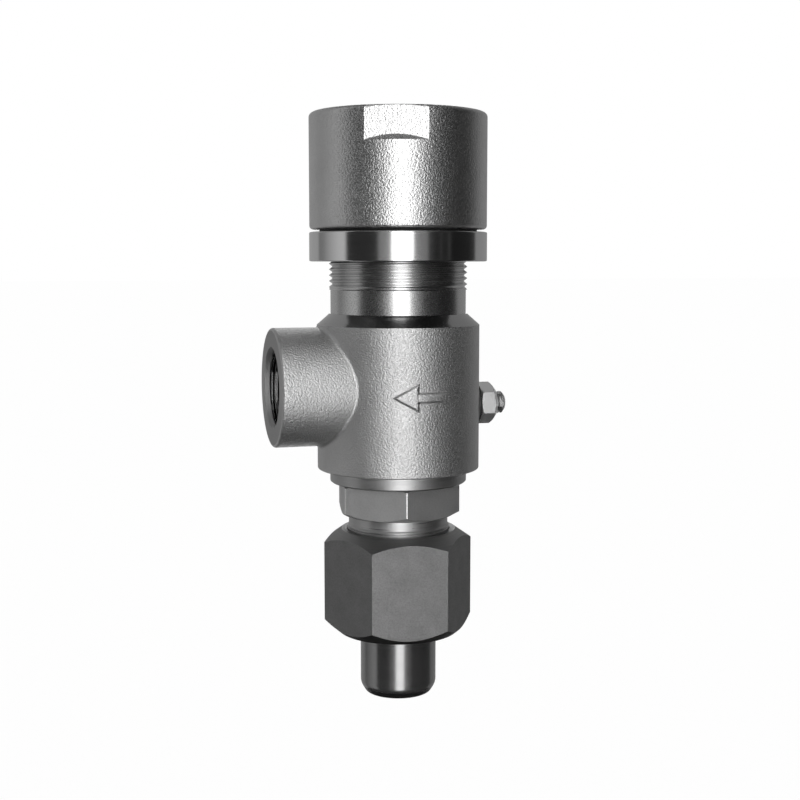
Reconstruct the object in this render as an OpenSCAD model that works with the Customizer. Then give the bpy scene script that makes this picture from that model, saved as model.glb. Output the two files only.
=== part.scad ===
// Spring safety valve with a welded inlet nipple, a side outlet and a screwed spring cap.
// The origin is on the valve axis at the nipple's weld end. +Z runs up to the cap, the outlet faces -X.
// All sizes are in millimetres.

/* [Inlet nipple] */
// Outside diameter of the weld stub
stub_d = 26.9; // [24:0.1:30]
// Wall of the weld stub
stub_wall = 3.2; // [2:0.1:4]
// Stub length that shows below the union nut
stub_reach = 22.5; // [16:0.5:40]
// Height of the weld bevel
bevel_h = 3; // [1:0.1:3.5]
// Angle of the weld bevel from the axis
bevel_angle = 32; // [20:1:35]
// Height of the collar that the union nut pulls on
nipple_collar_h = 6; // [4:0.5:10]
// Thickness of the flat inlet seal
inlet_seal_t = 1.5; // [1:0.1:3]

/* [Union nut] */
// Width across the flats
union_af = 46; // [42:0.5:50]
// Height of the nut
union_h = 36.6; // [33:0.1:42]
// Thickness of the web that bears on the nipple's collar
union_web = 7.5; // [5:0.5:9]
// Diameter of the thread that joins the nut and the nozzle
union_thread_d = 36; // [34.5:0.5:37]
// Angle of the top chamfer from the face
union_top_angle = 35; // [20:1:40]
// Angle of the bottom chamfer from the face
union_bottom_angle = 40; // [25:1:45]
// Direction of the first corner, seen from above
union_turn = 54.6; // [0:0.1:60]

/* [Nozzle] */
// Diameter of the flow bore at the seat
orifice_d = 15; // [11:0.5:16]
// Length of the thread in the union nut
nozzle_thread_len = 22; // [20.5:0.5:26]
// Length of the plain neck below the hexagon
relief_len = 4.9; // [3:0.1:10]
// Diameter of that plain neck
relief_d = 35; // [30:0.5:35]
// Width across the flats of the hexagon
nozzle_af = 40; // [38:0.5:44]
// Height of the hexagon
nozzle_hex_h = 11.6; // [8:0.1:16]
// Direction of the hexagon's first corner, seen from above
nozzle_turn = 21.7; // [0:0.1:60]
// Diameter of the flange under the body
nozzle_flange_d = 48; // [42:0.5:54]
// Height of that flange
nozzle_flange_h = 4.3; // [3:0.1:8]
// Thickness of the gasket between flange and body
body_gasket_t = 0.5; // [0.3:0.1:1.5]
// Diameter of the thread that holds the nozzle in the body
nozzle_body_thread_d = 34; // [30:0.5:36]
// Diameter of the upper part, which carries the blowdown ring
nozzle_top_d = 26; // [24:0.5:28]
// Width of the ring that seals on the seat
seat_land = 1.2; // [0.8:0.1:2]
// Height of the seat above the underside of the body
seat_up = 27.2; // [26.6:0.1:30]

/* [Body] */
// Diameter of the cast body
body_d = 56.8; // [54:0.2:62]
// Height of the cast cylinder
body_h = 50.4; // [48:0.2:60]
// Height of the turned shoulder above it
shoulder_h = 3.9; // [2:0.1:8]
// Diameter of the thread on the neck
neck_thread_d = 48; // [46:0.5:52]
// Diameter of the plain neck below the thread
neck_plain_d = 47.2; // [44:0.2:47.8]
// Height of the plain neck
neck_plain_h = 8.2; // [4:0.1:14]
// Length of thread left bare below the lock ring
neck_bare_len = 9.7; // [8.5:0.1:16]
// How far the neck reaches into the cap
neck_engage = 26; // [24:0.5:28]
// Bore of the outlet chamber
chamber_d = 45; // [43:0.5:48]
// Thickness of the chamber's floor
floor_t = 13; // [8:0.5:14]
// Height of the chamber's roof above the underside of the body
chamber_top = 45.2; // [44:0.2:46.5]
// Thickness of the shelf that carries the guide bush
shelf_t = 5; // [3:0.2:8]
// Round on the cast body's lower edge
base_round = 0.8; // [0.4:0.1:2.5]
// Round on the rim of the outlet boss
boss_round = 1.4; // [0.5:0.1:2.5]

/* [Outlet] */
// Diameter of the outlet boss
outlet_boss_d = 41; // [36:0.5:44]
// Distance from the valve axis to the outlet face
outlet_reach = 45; // [38:0.5:60]
// Height of the outlet axis above the underside of the body
outlet_up = 29.2; // [27:0.1:30]
// Wall diameter of the outlet thread, which is its crest
outlet_thread_d = 24.12; // [20:0.02:26]
// Depth of the outlet thread
outlet_thread_len = 16; // [12:0.5:17]
// Bore behind the outlet thread
outlet_bore_d = 22; // [18:0.5:24]

/* [Set screw] */
// Diameter of the set screw
screw_d = 8; // [6:0.5:9]
// Height of the set screw above the underside of the body
screw_up = 21.9; // [21:0.1:22.5]
// Length of the set screw that shows past its lock nut
screw_proud = 3.7; // [1.5:0.1:6]
// Diameter of the screw's plain tip, which stands in a notch of the blowdown ring
tip_d = 3; // [2.4:0.1:3.6]
// Diameter of the spot face that the lock nut pulls on
spot_face_d = 17; // [15.5:0.5:20]
// Depth of the spot face in the cast cylinder
spot_face_depth = 0.6; // [0.2:0.1:1.5]
// Thickness of the seal washer
screw_washer_t = 1.3; // [0.8:0.1:2]
// Width across the flats of the lock nut
screw_nut_af = 13; // [11:0.5:15]
// Height of the lock nut
screw_nut_h = 6.5; // [5:0.5:7]

/* [Blowdown ring] */
// Diameter of the notched ring
blowdown_d = 39; // [37:0.5:41]
// Height of the ring
blowdown_h = 9; // [8:0.5:10]
// Notches around the ring
notch_count = 16; // [12:1:20]
// Width of one notch
notch_w = 5; // [4.5:0.1:5.5]
// Depth of one notch
notch_depth = 3; // [2:0.1:3.5]

/* [Disc, guide and stem] */
// Diameter of the disc's skirt
disc_d = 27; // [25:0.5:30]
// Height of the disc's skirt
disc_h = 6.5; // [5:0.5:7]
// Diameter of the shank that slides in the guide bush
shank_d = 18; // [15:0.5:20]
// Diameter of the soft seat insert
insert_d = 19; // [18.5:0.5:20]
// Thickness of the soft seat insert
insert_t = 2.5; // [1.5:0.1:3]
// Diameter of the head that holds the insert
insert_screw_d = 8; // [6:0.5:9]
// Full lift of the disc
lift = 3; // [1:0.5:3.5]
// Diameter of the guide bush's sleeve
guide_d = 32; // [28:0.5:34]
// Height of the guide bush's flange
guide_flange_h = 3; // [2:0.2:4]
// Length of the guide bush's sleeve below its flange
guide_sleeve_len = 10; // [8:0.5:11]
// Section of the snap ring that holds the guide bush
snap_ring_t = 1.5; // [1:0.1:2]
// Diameter of the stem
stem_d = 8; // [6:0.5:9]
// Diameter of the stem's collar, which carries the lower spring seat
stem_collar_d = 13; // [11:0.5:16]
// Diameter of the cross pin through stem and disc
pin_d = 2; // [1.5:0.1:2.5]

/* [Spring] */
// Diameter of the spring wire
wire_d = 4; // [3.5:0.1:5]
// Mean diameter of the coil
coil_d = 28; // [26:0.5:30]
// Turns of the coil, closed ends included
coil_turns = 7; // [5:0.5:7.5]
// Thickness of the lower spring seat
lower_seat_t = 4; // [3:0.5:5]
// Thickness of the upper spring seat
upper_seat_t = 5; // [4:0.5:6]
// Diameter of both spring seats
spring_seat_d = 37; // [34:0.5:39]
// Room between the spring seats and the neck's bore
spring_seat_room = 1; // [0.5:0.1:1.5]
// Height of the step that centres the spring
centring_h = 3; // [2:0.5:4]
// Diameter of the thrust ball under the cap
ball_d = 8; // [6:0.5:9]

/* [Cap and lock ring] */
// Diameter of the cap
cap_d = 61.5; // [58:0.5:68]
// Height of the cap
cap_h = 39.6; // [38:0.1:46]
// Thickness of the cap's crown
crown_t = 9.5; // [8:0.5:10]
// Width across the cap's two wrench flats
cap_af = 57.8; // [56:0.1:60]
// Height of the wrench flats
cap_flat_h = 9.5; // [6:0.5:14]
// Direction of the first wrench flat, seen from above
cap_turn = 73.1; // [0:0.1:180]
// Round on the cap's top edge
cap_top_round = 1.5; // [0.5:0.1:3]
// Round on the cap's lower edge
cap_low_round = 1.4; // [0.5:0.1:3]
// Thickness of the ring gasket under the cap
cap_gasket_t = 0.8; // [0.6:0.1:2]
// Diameter of that gasket
cap_gasket_d = 54.6; // [52:0.2:57]
// How far the lock ring stands proud of the cap, all round
lock_ring_proud = 0.1; // [0:0.05:2]
// Height of the lock ring
lock_ring_h = 10.1; // [6:0.1:14]

/* [Clearances] */
// Radial clearance of threads, shafts and slides
fit_gap = 0.05; // [0.02:0.01:0.1]
// Axial gap between faces that turn on each other
face_gap = 0.05; // [0.02:0.01:0.1]
// Room around pieces that never touch
free_gap = 0.5; // [0.3:0.1:0.8]

/* [Hidden] */
$fn = 96;
eps = 0.01;
edge = 0.5;

// Heights along the valve axis, stacked from the weld end
collar_z = stub_reach + union_web + face_gap;
nipple_top = collar_z + nipple_collar_h;
nozzle_z = nipple_top + inlet_seal_t;
union_top = stub_reach + union_h;
relief_z = nozzle_z + nozzle_thread_len;
hex_z = relief_z + relief_len;
flange_z = hex_z + nozzle_hex_h;
flange_top = flange_z + nozzle_flange_h;
body_z = flange_top + body_gasket_t;
seat_z = body_z + seat_up;
outlet_z = body_z + outlet_up;
screw_z = body_z + screw_up;
shelf_z = body_z + chamber_top;
shelf_top = shelf_z + shelf_t;
body_top = body_z + body_h;
shoulder_top = body_top + shoulder_h;
thread_z = shoulder_top + neck_plain_h;
ring_z = thread_z + neck_bare_len;
ring_top = ring_z + lock_ring_h;
cap_z = ring_top + cap_gasket_t + face_gap;
cap_top = cap_z + cap_h;
crown_z = cap_top - crown_t;
neck_top = cap_z + neck_engage;

// Distances along the set screw, stacked from the valve axis
spot_face_reach = body_d / 2 - spot_face_depth;
screw_nut_x = spot_face_reach + screw_washer_t;
screw_reach = screw_nut_x + screw_nut_h + screw_proud;

// Radii that several pieces share
stub_r = stub_d / 2;
stub_bore_r = stub_r - stub_wall;
union_thread_r = union_thread_d / 2;
nozzle_top_r = nozzle_top_d / 2;
body_thread_r = nozzle_body_thread_d / 2;
neck_r = neck_thread_d / 2;
lip_r = orifice_d / 2 + seat_land;
chamber_r = chamber_d / 2;
bore_r = spring_seat_d / 2 + spring_seat_room;
spring_bore_r = coil_d / 2 - wire_d / 2;

// Blowdown ring, which the set screw's tip holds by a notch at mid height
blowdown_z = screw_z - blowdown_h / 2 - 1;

// Disc and stem, stacked from the seat
skirt_z = seat_z - 0.8;
skirt_top = skirt_z + disc_h;
guide_z = shelf_top - guide_sleeve_len;
guide_top = shelf_top + guide_flange_h;
snap_z = guide_top;
shank_top = guide_top - lift - 2;
pocket_z = skirt_top + 3;
pin_z = shank_top - 3;
stem_collar_z = guide_top + 1;
lower_seat_z = snap_z + snap_ring_t + 1.5;
lower_seat_top = lower_seat_z + lower_seat_t;

// Spring and what it pushes up against
ball_z = crown_z - face_gap - ball_d / 2;
pocket_floor = ball_z - ball_d / 2;
upper_seat_z = pocket_floor - 4;
spring_len = upper_seat_z - lower_seat_top;

// Points of an arc, as corner or edge round of a turned outline
function arc(cx, cy, r, from, to, n = 6) =
    [for (i = [0:n]) [cx + r * cos(from + (to - from) * i / n), cy + r * sin(from + (to - from) * i / n)]];

// A turned solid from its half outline of [radius, height] points
module turned(outline) rotate_extrude() polygon(outline);

// A straight hole that runs past both ends
module drill(r, z0, z1, past = eps) translate([0, 0, z0 - past]) cylinder(r = r, h = z1 - z0 + 2 * past);

// Hexagon bar with the turned chamfers of a nut
module nut_bar(af, h, top_angle, bottom_angle, top_r, bottom_r, turn) {
    corner_r = af / sqrt(3);
    top_drop = max(corner_r + 1 - top_r, 0) * tan(top_angle);
    bottom_rise = max(corner_r + 1 - bottom_r, 0) * tan(bottom_angle);
    intersection() {
        rotate([0, 0, turn]) cylinder(r = corner_r, h = h, $fn = 6);
        turned([[0, 0], [bottom_r, 0], [corner_r + 1, bottom_rise], [corner_r + 1, h - top_drop], [top_r, h], [0, h]]);
    }
}

// A hole along X through the wall on the +X side
module cross_hole(r, x0, x1, z) translate([x0, 0, z]) rotate([0, 90, 0]) cylinder(r = r, h = x1 - x0);

// Weld stub with a bevelled end, and the collar that the union nut pulls up
module weld_nipple() color("silver") {
    bevel_r = stub_r - bevel_h * tan(bevel_angle);
    collar_r = union_thread_r - free_gap - 0.5;
    difference() {
        turned([[0, 0], [bevel_r, 0], [stub_r, bevel_h], [stub_r, collar_z], [collar_r - edge, collar_z],
            [collar_r, collar_z + edge], [collar_r, nipple_top - edge], [collar_r - edge, nipple_top], [0, nipple_top]]);
        drill(stub_bore_r, 0, nipple_top);
    }
}

// Flat seal between nipple and nozzle
module inlet_seal() color("peru") translate([0, 0, nipple_top]) difference() {
    cylinder(r = union_thread_r - free_gap - 1, h = inlet_seal_t);
    drill(stub_bore_r, 0, inlet_seal_t);
}

// Large hexagon nut that joins nipple and nozzle
module union_nut() color("gainsboro") difference() {
    translate([0, 0, stub_reach])
        nut_bar(union_af, union_h, union_top_angle, union_bottom_angle,
            union_af / 2 - 2.8, union_af / 2 - 1.75, union_turn);
    drill(stub_r + fit_gap, stub_reach, collar_z);
    drill(union_thread_r + fit_gap, collar_z - face_gap, union_top);
    translate([0, 0, union_top - edge])
        cylinder(r1 = union_thread_r + fit_gap, r2 = union_thread_r + fit_gap + edge + eps, h = edge + eps);
}

// Turned nozzle: union thread, neck, hexagon, flange, body thread and raised seat
module nozzle() color("lightgray") {
    entry_z = nozzle_z + 12;
    difference() {
        union() {
            turned([[0, nozzle_z], [union_thread_r - 1, nozzle_z], [union_thread_r, nozzle_z + 1],
                [union_thread_r, relief_z - edge], [union_thread_r - edge, relief_z], [relief_d / 2, relief_z],
                [relief_d / 2, hex_z + eps], [0, hex_z + eps]]);
            translate([0, 0, hex_z])
                nut_bar(nozzle_af, nozzle_hex_h, 20, 30, nozzle_af / 2 + 1.4, nozzle_af / 2 - 0.6, nozzle_turn);
            turned([[0, flange_z - eps], [nozzle_flange_d / 2 - 0.3, flange_z - eps], [nozzle_flange_d / 2, flange_z + 0.3],
                [nozzle_flange_d / 2, flange_top - edge], [nozzle_flange_d / 2 - edge, flange_top],
                [body_thread_r, flange_top], [body_thread_r, body_z + floor_t - 1], [body_thread_r - 1, body_z + floor_t],
                [nozzle_top_r, body_z + floor_t], [nozzle_top_r, seat_z - 1.7], [nozzle_top_r - edge, seat_z - 1.2],
                [lip_r, seat_z - 1.2], [lip_r, seat_z], [0, seat_z]]);
        }
        drill(orifice_d / 2, nozzle_z, seat_z);
        translate([0, 0, nozzle_z - eps]) cylinder(r1 = stub_bore_r, r2 = orifice_d / 2, h = entry_z - nozzle_z);
    }
}

// Thin gasket between the nozzle's flange and the body
module body_gasket() color("dimgray") translate([0, 0, flange_top]) difference() {
    cylinder(r = nozzle_flange_d / 2 - 1.5, h = body_gasket_t);
    drill(body_thread_r + fit_gap, 0, body_gasket_t);
}

// Outside of the cast body: cylinder, turned shoulder and neck, outlet boss and spot face
module body_outside() {
    body_r = body_d / 2;
    union() {
        turned(concat([[0, body_z], [body_r - base_round, body_z]],
            arc(body_r - base_round, body_z + base_round, base_round, -90, 0),
            [[body_r, body_top], [neck_r, shoulder_top], [neck_plain_d / 2, shoulder_top],
            [neck_plain_d / 2, thread_z], [neck_r, thread_z + (neck_r - neck_plain_d / 2)],
            [neck_r, neck_top - 1], [neck_r - 1, neck_top], [0, neck_top]]));
        translate([0, 0, outlet_z]) rotate([0, -90, 0])
            turned(concat([[0, 0], [outlet_boss_d / 2, 0]],
                arc(outlet_boss_d / 2 - boss_round, outlet_reach - boss_round, boss_round, 0, 90), [[0, outlet_reach]]));
        cross_hole(spot_face_d / 2, chamber_r + 1, spot_face_reach, screw_z);
    }
}

// One casting, machined inside for the nozzle, the chamber, the guide bush and the spring
module body() color("silver") {
    shelf_bore_r = guide_d / 2 + fit_gap;
    mouth = 0.9;
    mouth_r = outlet_thread_d / 2 + 1.3;
    difference() {
        body_outside();
        drill(body_thread_r + fit_gap, body_z, body_z + floor_t);
        drill(chamber_r, body_z + floor_t, shelf_z, 0);
        drill(shelf_bore_r, shelf_z, shelf_top);
        drill(bore_r, shelf_top, neck_top + eps, 0);
        drill(bore_r + 1, snap_z - 0.1, snap_z + snap_ring_t + 0.1, 0);
        translate([0, 0, outlet_z]) rotate([0, -90, 0]) {
            drill(outlet_bore_d / 2, 0, outlet_reach);
            drill(outlet_thread_d / 2, outlet_reach - outlet_thread_len, outlet_reach + eps, 0);
            translate([0, 0, outlet_reach - mouth])
                cylinder(r1 = outlet_thread_d / 2, r2 = mouth_r, h = mouth + eps);
        }
        cross_hole(screw_d / 2 + fit_gap, chamber_r - 1, spot_face_reach + 1, screw_z);
        cross_hole(spot_face_d / 2, spot_face_reach, body_d / 2 + 1, screw_z);
    }
}

// Ring on the nozzle's top thread, notched for the set screw
module blowdown_ring() color("khaki") {
    r = blowdown_d / 2;
    difference() {
        translate([0, 0, blowdown_z])
            turned([[nozzle_top_r + fit_gap, 0], [r - edge, 0], [r, edge], [r, blowdown_h - 2],
                [r - 2, blowdown_h], [nozzle_top_r + fit_gap, blowdown_h]]);
        for (i = [0:notch_count - 1]) rotate([0, 0, i * 360 / notch_count])
            translate([r - notch_depth, -notch_w / 2, screw_z - notch_w / 2])
                cube([notch_depth + 1, notch_w, notch_w]);
    }
}

// Slotted screw whose plain tip stands in a notch of the blowdown ring
module set_screw() color("silver") {
    tip_x = blowdown_d / 2 - notch_depth + free_gap;
    stud_x = blowdown_d / 2 + 2;
    r = screw_d / 2;
    difference() {
        translate([0, 0, screw_z]) rotate([0, 90, 0])
            turned([[0, tip_x], [tip_d / 2, tip_x], [tip_d / 2, stud_x], [r - 0.8, stud_x], [r, stud_x + 0.8],
                [r, screw_reach - 0.9], [r - 0.9, screw_reach], [0, screw_reach]]);
        translate([screw_reach - 1.6, -0.6, screw_z - r - 1]) cube([3, 1.2, screw_d + 2]);
    }
}

// Dark sheet washer that seals the set screw
module set_screw_washer() color("dimgray") difference() {
    cross_hole(spot_face_d / 2 - 1.5, spot_face_reach, spot_face_reach + screw_washer_t, screw_z);
    cross_hole(screw_d / 2 + fit_gap, spot_face_reach - 1, spot_face_reach + screw_washer_t + 1, screw_z);
}

// Hexagon lock nut on the set screw, one corner up
module set_screw_nut() color("gainsboro") difference() {
    translate([screw_nut_x, 0, screw_z]) rotate([0, 90, 0])
        nut_bar(screw_nut_af, screw_nut_h, 30, 30, screw_nut_af / 2 - 0.2, screw_nut_af / 2 - 0.2, 0);
    cross_hole(screw_d / 2 + fit_gap, screw_nut_x - 1, screw_nut_x + screw_nut_h + 1, screw_z);
}

// Disc with its skirt, the shank that slides in the guide, and the stem's pocket
module disc() color("lightsteelblue") difference() {
    turned([[0, skirt_z], [disc_d / 2 - 1, skirt_z], [disc_d / 2, skirt_z + 1], [disc_d / 2, skirt_top - 1],
        [disc_d / 2 - 1, skirt_top], [shank_d / 2, skirt_top], [shank_d / 2, shank_top - edge],
        [shank_d / 2 - edge, shank_top], [0, shank_top]]);
    drill(insert_d / 2, skirt_z - eps, seat_z + insert_t, 0);
    drill(insert_screw_d / 4 + fit_gap, seat_z, seat_z + insert_t + 3, 0);
    drill(stem_d / 2 + fit_gap, pocket_z, shank_top + eps, 0);
    translate([0, -shank_d, pin_z]) rotate([-90, 0, 0]) cylinder(r = pin_d / 2 + fit_gap, h = 2 * shank_d);
}

// Soft insert that closes on the nozzle's lip
module seat_insert() color("white") difference() {
    drill(insert_d / 2 - fit_gap, seat_z, seat_z + insert_t, 0);
    drill(insert_screw_d / 4 + fit_gap, seat_z, seat_z + insert_t);
}

// Small screw that clamps the insert into the disc
module insert_screw() color("silver") {
    head_r = insert_screw_d / 2;
    turned([[0, seat_z - 1.6], [head_r - 0.6, seat_z - 1.6], [head_r, seat_z - 1], [head_r, seat_z],
        [head_r / 2, seat_z], [head_r / 2, seat_z + insert_t + 2.8], [0, seat_z + insert_t + 2.8]]);
}

// Flanged bush on the shelf, which guides the disc's shank
module guide_bush() color("goldenrod") difference() {
    turned([[0, guide_z], [guide_d / 2 - 1, guide_z], [guide_d / 2, guide_z + 1], [guide_d / 2, shelf_top],
        [bore_r - fit_gap, shelf_top], [bore_r - fit_gap, guide_top], [0, guide_top]]);
    drill(shank_d / 2 + fit_gap, guide_z, guide_top);
}

// Open snap ring in the groove above the guide bush
module snap_ring() color("slategray") translate([0, 0, snap_z])
    rotate([0, 0, 20]) rotate_extrude(angle = 320)
        translate([bore_r - 1.8, 0]) square([2.6, snap_ring_t]);

// Stem that carries the spring's load down to the disc
module stem() color("silver") {
    r = stem_d / 2;
    difference() {
        turned([[0, pocket_z], [r - 1, pocket_z], [r, pocket_z + 1], [r, stem_collar_z],
            [stem_collar_d / 2, stem_collar_z], [stem_collar_d / 2, lower_seat_z], [r, lower_seat_z],
            [r, lower_seat_top + centring_h + 6], [r - 1, lower_seat_top + centring_h + 7],
            [0, lower_seat_top + centring_h + 7]]);
        translate([0, -stem_d, pin_z]) rotate([-90, 0, 0]) cylinder(r = pin_d / 2 + fit_gap, h = 2 * stem_d);
    }
}

// Cross pin that lets the stem pull the disc up
module stem_pin() color("gray") translate([0, -shank_d / 2 + 0.3, pin_z]) rotate([-90, 0, 0])
    cylinder(r = pin_d / 2, h = shank_d - 0.6);

// Plate and centring step on the stem's collar
module lower_spring_seat() color("darkgray") difference() {
    turned([[0, lower_seat_z], [spring_seat_d / 2 - edge, lower_seat_z], [spring_seat_d / 2, lower_seat_z + edge],
        [spring_seat_d / 2, lower_seat_top], [spring_bore_r - free_gap, lower_seat_top],
        [spring_bore_r - free_gap - 1, lower_seat_top + centring_h], [0, lower_seat_top + centring_h]]);
    drill(stem_d / 2 + fit_gap, lower_seat_z, lower_seat_top + centring_h);
}

// Coil spring with closed ends that are ground flat
coil_steps = 24;
wire_sides = 10;
rise = spring_len - wire_d * 0.9;

// Share of the rise at t turns: the first and last turn lie closed
function coil_rise(t) = let (u = (t - 0.75) / (coil_turns - 1.5))
    wire_d * 0.9 * min(t, 0.75) * 0.5 + wire_d * 0.9 * max(t - coil_turns + 0.75, 0) * 0.5
    + (rise - wire_d * 0.675) * min(max(u, 0), 1);

function wire_point(t, a) =
    let (r = coil_d / 2 + wire_d / 2 * cos(a), z = wire_d * 0.45 + coil_rise(t) + wire_d / 2 * sin(a))
    [r * cos(360 * t), r * sin(360 * t), lower_seat_top + min(max(z, 0), spring_len)];

module spring() color("steelblue") {
    rings = round(coil_turns * coil_steps);
    points = [for (i = [0:rings]) for (k = [0:wire_sides - 1])
        wire_point(coil_turns * i / rings, 360 * k / wire_sides)];
    sides = [for (i = [0:rings - 1]) for (k = [0:wire_sides - 1])
        let (a = i * wire_sides, b = a + wire_sides, n = (k + 1) % wire_sides) [a + k, b + k, b + n, a + n]];
    ends = [[for (k = [0:wire_sides - 1]) k], [for (k = [0:wire_sides - 1]) (rings + 1) * wire_sides - 1 - k]];
    polyhedron(points, concat(sides, ends));
}

// Plate that the cap pushes down through the ball
module upper_spring_seat() color("darkgray") {
    socket_r = ball_d / 2 + fit_gap;
    difference() {
        turned([[0, upper_seat_z - centring_h], [spring_bore_r - free_gap - 1, upper_seat_z - centring_h],
            [spring_bore_r - free_gap, upper_seat_z], [spring_seat_d / 2, upper_seat_z],
            [spring_seat_d / 2, upper_seat_z + upper_seat_t - edge],
            [spring_seat_d / 2 - edge, upper_seat_z + upper_seat_t],
            [socket_r + 3, upper_seat_z + upper_seat_t], [socket_r + 2, ball_z], [0, ball_z]]);
        drill(socket_r, pocket_floor, ball_z + eps, 0);
    }
}

// Ball on which the cap turns
module thrust_ball() color("lightgray") translate([0, 0, ball_z]) sphere(r = ball_d / 2);

// Screwed cap with two wrench flats, which sets the spring
module cap() color("gainsboro") {
    r = cap_d / 2;
    flat_depth = r - cap_af / 2;
    flat_z = cap_top - cap_flat_h;
    difference() {
        turned(concat([[0, cap_z], [r - cap_low_round, cap_z]],
            arc(r - cap_low_round, cap_z + cap_low_round, cap_low_round, -90, 0),
            arc(r - cap_top_round, cap_top - cap_top_round, cap_top_round, 0, 90), [[0, cap_top]]));
        rotate([0, 0, cap_turn]) for (side = [0, 180]) rotate([0, 0, side]) intersection() {
            translate([cap_af / 2, -r, cap_z]) cube([r, 2 * r, cap_h + 1]);
            difference() {
                translate([0, 0, flat_z - flat_depth]) cylinder(r = r + 1, h = cap_h);
                translate([0, 0, flat_z - flat_depth]) cylinder(r1 = r, r2 = r - flat_depth - eps, h = flat_depth + eps);
            }
        }
        drill(neck_r + fit_gap, cap_z, crown_z, 0);
        drill(neck_r + fit_gap + 0.8, crown_z - 3, crown_z, 0);
        translate([0, 0, cap_z - eps]) cylinder(r1 = neck_r + 1, r2 = neck_r, h = 1 + eps);
    }
}

// Ring gasket between lock ring and cap
module cap_gasket() color("black") translate([0, 0, ring_top]) difference() {
    cylinder(r = cap_gasket_d / 2, h = cap_gasket_t);
    drill(neck_r + fit_gap, 0, cap_gasket_t);
}

// Round lock ring that jams the cap
module lock_ring() color("silver") difference() {
    r = cap_d / 2 + lock_ring_proud;
    translate([0, 0, ring_z])
        turned([[0, 0], [r - edge, 0], [r, edge], [r, lock_ring_h - edge], [r - edge, lock_ring_h], [0, lock_ring_h]]);
    drill(neck_r + fit_gap, ring_z, ring_top);
}

weld_nipple();
inlet_seal();
union_nut();
nozzle();
body_gasket();
body();
blowdown_ring();
set_screw();
set_screw_washer();
set_screw_nut();
disc();
seat_insert();
insert_screw();
guide_bush();
snap_ring();
stem();
stem_pin();
lower_spring_seat();
spring();
upper_spring_seat();
thrust_ball();
cap();
cap_gasket();
lock_ring();
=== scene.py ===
"""Looks of the spring safety valve: cast, turned and milled stainless steel in a plain soft studio.

Sizes are in millimetres and become metres where a mesh is made. Angles are in degrees.
"""

import cmath
import math

import bmesh
import bpy
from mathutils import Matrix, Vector


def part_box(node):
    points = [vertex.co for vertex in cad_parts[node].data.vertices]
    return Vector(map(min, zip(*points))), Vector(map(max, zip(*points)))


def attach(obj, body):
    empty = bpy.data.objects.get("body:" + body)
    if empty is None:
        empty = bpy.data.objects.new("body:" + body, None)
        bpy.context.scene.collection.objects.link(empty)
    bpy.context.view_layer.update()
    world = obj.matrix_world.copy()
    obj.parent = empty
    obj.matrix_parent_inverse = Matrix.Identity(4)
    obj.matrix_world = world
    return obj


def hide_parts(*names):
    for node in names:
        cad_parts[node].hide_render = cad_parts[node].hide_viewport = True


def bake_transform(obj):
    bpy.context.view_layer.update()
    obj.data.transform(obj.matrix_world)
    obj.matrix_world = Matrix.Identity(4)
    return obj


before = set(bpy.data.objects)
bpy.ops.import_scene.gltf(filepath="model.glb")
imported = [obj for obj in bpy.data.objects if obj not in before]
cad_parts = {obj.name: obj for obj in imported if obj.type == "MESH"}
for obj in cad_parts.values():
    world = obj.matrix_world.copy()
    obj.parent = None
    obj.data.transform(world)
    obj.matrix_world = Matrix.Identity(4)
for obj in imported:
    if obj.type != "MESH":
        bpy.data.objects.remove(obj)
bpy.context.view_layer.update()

MM = 0.001

# The camera stands at the photograph's eye level, turned from the outlet's cross direction.
VIEW_TURN = 16.0
VIEW_DISTANCE = 455.0
EYE_HEIGHT = 153.9
VIEW_PITCH = 6.19
VIEW_ASIDE = 0.66
LENS = 58.5
TOWARD_CAMERA = -90.0 - VIEW_TURN
TO_THE_RIGHT = -VIEW_TURN

# Threads
NECK_PITCH = 2.0
OUTLET_PITCH = 1.814
SCREW_PITCH = 1.25

# Rounds of edges
BOSS_EDGE = 0.9
BASE_EDGE = 0.8
BOSS_FILLET = 1.8


def span(node, axis):
    """A solid's lowest and highest place on one axis, in millimetres."""
    low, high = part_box(node)
    return (Vector(low) / MM)[axis], (Vector(high) / MM)[axis]


NIPPLE_TOP = span("weld_nipple", 2)[1]
UNION_BASE, UNION_TOP = span("union_nut", 2)
NOZZLE_BASE, SEAT_Z = span("nozzle", 2)
BODY_BASE, NECK_TOP = span("body", 2)
RING_BASE, RING_TOP = span("lock_ring", 2)
CAP_BASE, CAP_TOP = span("cap", 2)
GASKET_BASE = span("body_gasket", 2)[0]
CAP_R = (span("cap", 0)[1] - span("cap", 0)[0]) / 2
RING_R = (span("lock_ring", 0)[1] - span("lock_ring", 0)[0]) / 2
BODY_R = span("body", 1)[1]
OUTLET_REACH = -span("body", 0)[0]
SCREW_Z = sum(span("set_screw", 2)) / 2
SCREW_TIP, SCREW_END = span("set_screw", 0)
NUT_FOOT, NUT_HEAD = span("set_screw_nut", 0)
SPRING_BASE, SPRING_TOP = span("spring", 2)

# Coil spring
WIRE_R = 2.0
COIL_R = 14.0
COIL_TURNS = 7.0
CLOSED_TURNS = 0.75

# Places in the casting and the nozzle, from the same stack as the solids
CAST_TOP = BODY_BASE + 50.4
SHOULDER_TOP = CAST_TOP + 3.9
THREAD_BASE = SHOULDER_TOP + 8.2
OUTLET_Z = BODY_BASE + 29.2
FLANGE_BASE = GASKET_BASE - 4.3
HEX_BASE = FLANGE_BASE - 11.6
RELIEF_BASE = HEX_BASE - 4.9
CHAMBER_BASE = BODY_BASE + 13.0
CHAMBER_TOP = BODY_BASE + 45.2
SHELF_TOP = CHAMBER_TOP + 5.0
OUTLET_STEP = 16 - OUTLET_REACH
NUT_WEB_TOP = NIPPLE_TOP - 6.05

# Clearance between pieces that turn or screw in each other
RUNNING_GAP = 0.05

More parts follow.
